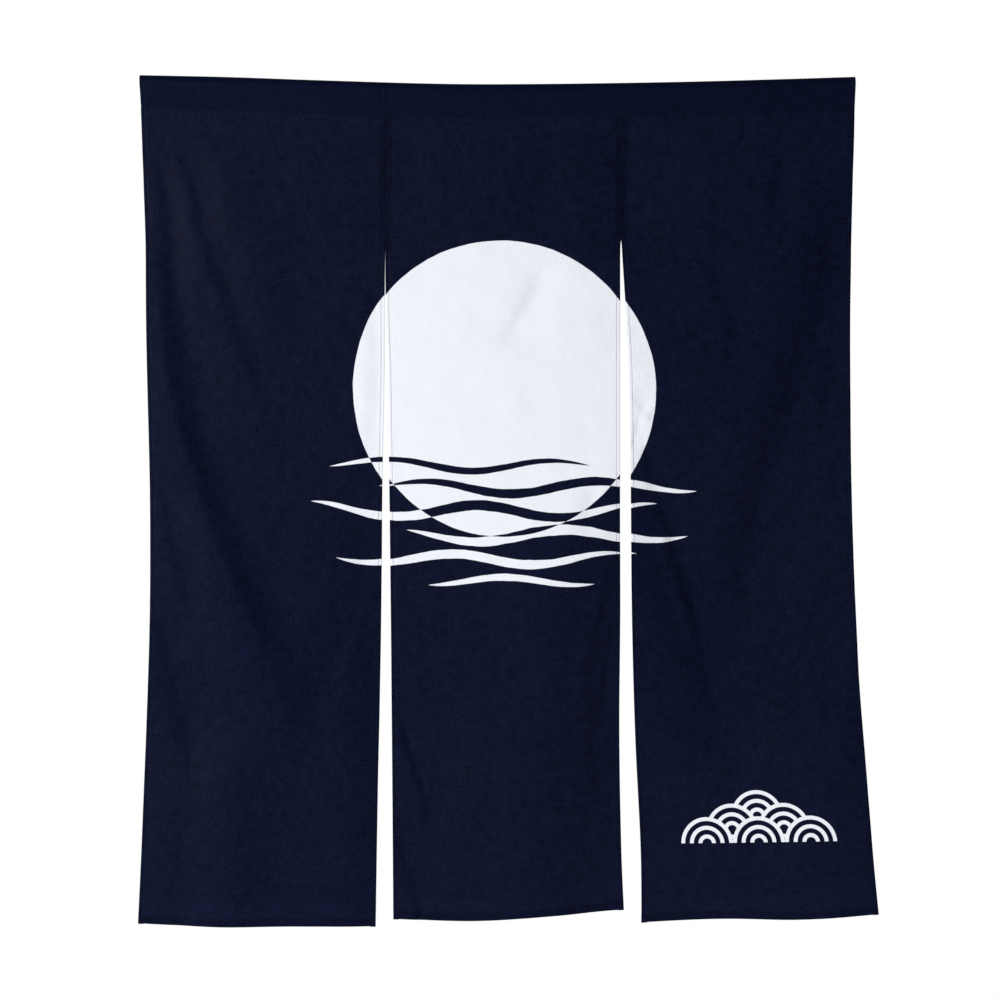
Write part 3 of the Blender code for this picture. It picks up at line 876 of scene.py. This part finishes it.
def cotton(name, printed):
    """Dyed plain-weave cotton with its white print, with painted shade where the cloth is double, along
    the seams and between the threads.
    printed is how strongly the print shows on this face."""
    cloth = bpy.context.scene.noren_cloth
    shader = Shader(name)
    place = shader.node("ShaderNodeUVMap", uv_map=FLAT_MAP).outputs["UV"]
    across, height, _ = shader.node("ShaderNodeSeparateXYZ", {0: place}).outputs
    hem = shader.node("ShaderNodeAttribute", attribute_name=HEM_PLACE)
    to_side, to_bottom, _ = shader.node("ShaderNodeSeparateXYZ", {0: hem.outputs["Vector"]}).outputs

    noises = [shader.clouds(place, spots.size, spots.stretch, spots.detail) for spots in SPOTS]
    mottle, white_mottle, spot_relief = (
        shader.add(*(shader.times(noise, getattr(spots, use)) for noise, spots in zip(noises, SPOTS)))
        for use in ("dye", "white", "relief")
    )
    threads = weave(shader, across, height)

    # The shade: two layers let less light through than one
    heading = shader.step(height, -HEADING - LAYER_EDGE, -HEADING + LAYER_EDGE)
    in_side = shader.step(to_side, cloth.side_hem + LAYER_EDGE, cloth.side_hem - LAYER_EDGE)
    in_bottom = shader.step(to_bottom, cloth.bottom_hem + LAYER_EDGE, cloth.bottom_hem - LAYER_EDGE)
    above_slit = shader.step(height, SLIT_TOP - SEAM_FADE, SLIT_TOP)
    seam = 0
    for slit in SLITS:
        off = shader.math("ABSOLUTE", shader.minus(across, float(level_value(slit, 0))))
        band = shader.step(off, *(SEAM_ALLOWANCE + past for past in SEAM_EDGE))
        seam = shader.most(seam, band)
    seam = shader.times(seam, above_slit, shader.minus(1, heading))
    double = shader.most(heading, in_side, in_bottom, seam)
    above_hem = shader.step(to_bottom, PALE_ABOVE_HEM, cloth.bottom_hem + PALE_START)
    pale = shader.times(above_hem, shader.minus(1, in_bottom))
    lint = shader.step(to_side, *LINT_EDGE)

    calm = shader.math("MULTIPLY_ADD", heading, HEADING_CALM, 1)
    # Painted shade along the seams, beside the cotton's own spots and the paler band above the hem
    tints_and_shade = (shader.times(mottle, calm), shader.times(seam, SEAM_SHADE), shader.times(pale, PALE))
    shade = shader.add(1, *tints_and_shade)
    # Painted shade of the weave: lighter on the threads' tops, darker between them
    shade = shader.times(shade, shader.math("MULTIPLY_ADD", threads, *THREAD_SHADE))
    white_shade = shader.add(WHITE, white_mottle)
    # The same painted shade of the weave in the white
    white_shade = shader.times(white_shade, shader.math("MULTIPLY_ADD", threads, *WHITE_THREADS))

    # Painted shade: darker navy where the cloth lies double, as two layers let less light through
    dyed = shader.mixed(double, tuple(cloth.navy), tuple(cloth.navy_double))
    navy = shader.scaled(dyed, shade)
    white = shader.scaled(tuple(cloth.white), white_shade)
    design = shader.most(moon_and_water(shader, place, across, height), wave_mark(shader, place, height))
    colour = shader.mixed(shader.times(design, printed), navy, white)

    # The relief: threads, spots, and stitches that pull the cloth in and pucker it
    unseamed = shader.math("MULTIPLY_ADD", seam, STITCH_IN_SEAM, 1)
    stitched = shader.most(
        shader.times(groove(shader, to_side, cloth.side_hem), unseamed),
        groove(shader, to_bottom, cloth.bottom_hem),
        groove(shader, height, -HEADING + 2 * STITCH_INSET),
    )
    beside_stitches = near(shader, to_side, to_bottom, height)
    pucker = shader.times(shader.clouds(place, PUCKER), beside_stitches, PUCKER_RELIEF)
    woven, sewn = shader.times(threads, THREAD_RELIEF), shader.times(stitched, STITCH_RELIEF)
    relief = shader.add(woven, sewn, pucker, spot_relief)
    roughness = shader.math("MULTIPLY_ADD", lint, LINT_ROUGHNESS, ROUGHNESS)
    return shader.finished(colour, roughness, SPECULAR, relief)


def groove(shader, distance, hem):
    """1 along a hem's stitches, which pull the cloth in."""
    off = shader.math("ABSOLUTE", shader.minus(distance, hem - STITCH_INSET))
    return shader.step(off, *STITCH_GROOVE)


def near(shader, to_side, to_bottom, height):
    """1 beside the stitches, 0 from a few centimetres away."""
    side = shader.step(to_side, *SIDE_PUCKERS)
    bottom = shader.step(to_bottom, *BOTTOM_PUCKERS)
    below = shader.step(height, -HEADING - HEADING_PUCKERS, -HEADING)
    above = shader.step(height, -HEADING + HEADING_PUCKERS, -HEADING)
    return shader.most(side, bottom, shader.times(below, above))


def thread_material():
    """Navy sewing cotton, twisted along each stitch, with painted shade in the grooves of its twist."""
    shader = Shader("sewing_thread")
    place = shader.node("ShaderNodeTexCoord").outputs["Object"]
    twist = shader.node(
        "ShaderNodeTexWave",
        {"Vector": place, "Scale": TWIST_SCALE, "Distortion": 1.5},
        wave_type="BANDS",
        bands_direction="DIAGONAL",
    ).outputs["Fac"]
    navy = tuple(bpy.context.scene.noren_cloth.navy)
    # Painted shade along the twist's grooves
    colour = shader.scaled(navy, shader.math("MULTIPLY_ADD", twist, *TWIST_SHADE))
    return shader.finished(colour, THREAD_ROUGHNESS, THREAD_SPECULAR, twist, TWIST_RELIEF)


def floor_material():
    """Pale and matt, with faint clouds."""
    shader = Shader("pale_floor")
    place = shader.node("ShaderNodeTexCoord").outputs["Object"]
    spots = shader.node("ShaderNodeTexNoise", {"Vector": place, "Scale": 6.0, "Detail": 3.0})
    shade = shader.math("MULTIPLY_ADD", spots.outputs["Fac"], *FLOOR_CLOUDS)
    shader.put(shader.principled.inputs["Base Color"], shader.scaled(FLOOR_COLOUR, shade))
    shader.principled.inputs["Roughness"].default_value = FLOOR_ROUGHNESS
    return shader.material


class NOREN_OT_panels(bpy.types.Operator):
    """Sew the three panels, each one sheet with its rod tunnel and hems"""

    bl_idname = "noren.panels"
    bl_label = "Panels"

    def execute(self, context):
        cloth = context.scene.noren_cloth
        faces = [cotton("cotton_face", 1.0), cotton("cotton_rear", PRINT_BEHIND)]
        for panel in PANELS:
            sheet = panel_sheet(panel)
            piece = grid_mesh("cloth_" + panel.side, *hemmed(sheet))
            for material in faces:
                piece.data.materials.append(material)
            give_thickness(piece, cloth.thickness)
            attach(piece, "root")
            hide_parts("panel_" + panel.side, "heading_" + panel.side)
        return {"FINISHED"}


class NOREN_OT_stitches(bpy.types.Operator):
    """Sew the stitches along the hems and under the rod tunnel"""

    bl_idname = "noren.stitches"
    bl_label = "Stitches"

    def execute(self, context):
        thread = thread_material()
        for panel in PANELS:
            piece = stitch_mesh("stitches_" + panel.side, stitch_lines(panel))
            piece.data.materials.append(thread)
            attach(piece, "root")
        return {"FINISHED"}


class NOREN_OT_seams(bpy.types.Operator):
    """Lay the felled seams behind the joined panels"""

    bl_idname = "noren.seams"
    bl_label = "Seams"

    def execute(self, context):
        cloth = context.scene.noren_cloth
        for name, slit in zip(("seam_left", "seam_right"), SLITS):
            piece = grid_mesh(name, *seam_grid(slit))
            for material in ("cotton_face", "cotton_rear"):
                piece.data.materials.append(bpy.data.materials[material])
            give_thickness(piece, cloth.thickness)
            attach(piece, "root")
        return {"FINISHED"}


class NOREN_OT_stage(bpy.types.Operator):
    """Set up the floor, the lights and the camera"""

    bl_idname = "noren.stage"
    bl_label = "Stage"

    def execute(self, context):
        studio = context.scene.noren_studio
        centre = Vector(studio.centre)
        bpy.ops.object.camera_add(
            location=centre - Vector((0, studio.distance, 0)), rotation=(math.radians(90), 0, 0)
        )
        context.object.data.lens = studio.lens
        context.scene.camera = context.object
        for light in LIGHTS:
            self.add_light(light, getattr(studio, light.name))
        place = (0, 0, -studio.floor_drop)
        bpy.ops.mesh.primitive_circle_add(
            vertices=FLOOR_SIDES, radius=FLOOR_RADIUS, fill_type="NGON", location=place
        )
        floor = context.object
        floor.name = "floor"
        floor.data.materials.append(floor_material())
        self.light_all_round(context.scene, studio.ambient)
        context.scene.view_settings.view_transform = "Standard"
        return {"FINISHED"}

    def add_light(self, light, power):
        bpy.ops.object.light_add(type="AREA", location=light.place)
        lamp = bpy.context.object
        lamp.name = light.name
        lamp.data.energy = power
        lamp.data.size = light.size
        aim = Vector(LIT_PLACE) - lamp.location
        lamp.rotation_euler = aim.to_track_quat("-Z", "Y").to_euler()

    def light_all_round(self, scene, strength):
        """A white surround, dimmer as a light than as a background."""
        scene.world = scene.world or bpy.data.worlds.new("surround")
        scene.world.use_nodes = True
        tree = scene.world.node_tree
        background = tree.nodes["Background"]
        background.inputs["Color"].default_value = (1, 1, 1, 1)
        seen = tree.nodes.new("ShaderNodeLightPath").outputs["Is Camera Ray"]
        mix = tree.nodes.new("ShaderNodeMapRange")
        mix.inputs["To Min"].default_value = strength
        mix.inputs["To Max"].default_value = 1.0
        tree.links.new(seen, mix.inputs["Value"])
        tree.links.new(mix.outputs["Result"], background.inputs["Strength"])


class NOREN_PT_sidebar(bpy.types.Panel):
    """The curtain's sizes, colours and steps"""

    bl_idname = "NOREN_PT_sidebar"
    bl_label = "Noren Curtain"
    bl_space_type = "VIEW_3D"
    bl_region_type = "UI"
    bl_category = "Noren"

    def draw(self, context):
        for group in (context.scene.noren_cloth, context.scene.noren_print, context.scene.noren_studio):
            box = self.layout.box()
            for name in group.bl_rna.properties.keys():
                if name not in ("rna_type", "name"):
                    box.prop(group, name)
        for operator in OPERATORS:
            self.layout.operator(operator.bl_idname)


GROUPS = {"noren_cloth": NorenCloth, "noren_print": NorenPrint, "noren_studio": NorenStudio}
OPERATORS = (NOREN_OT_stitches, NOREN_OT_panels, NOREN_OT_seams, NOREN_OT_stage)


def register():
    for kind in (*GROUPS.values(), *OPERATORS, NOREN_PT_sidebar):
        bpy.utils.register_class(kind)
    for name, group in GROUPS.items():
        setattr(bpy.types.Scene, name, PointerProperty(type=group))


def unregister():
    for name in GROUPS:
        delattr(bpy.types.Scene, name)
    for kind in reversed((*GROUPS.values(), *OPERATORS, NOREN_PT_sidebar)):
        bpy.utils.unregister_class(kind)


def main():
    register()
    bpy.ops.noren.stitches()
    bpy.ops.noren.panels()
    bpy.ops.noren.seams()
    bpy.ops.noren.stage()


if __name__ == "__main__":
    main()
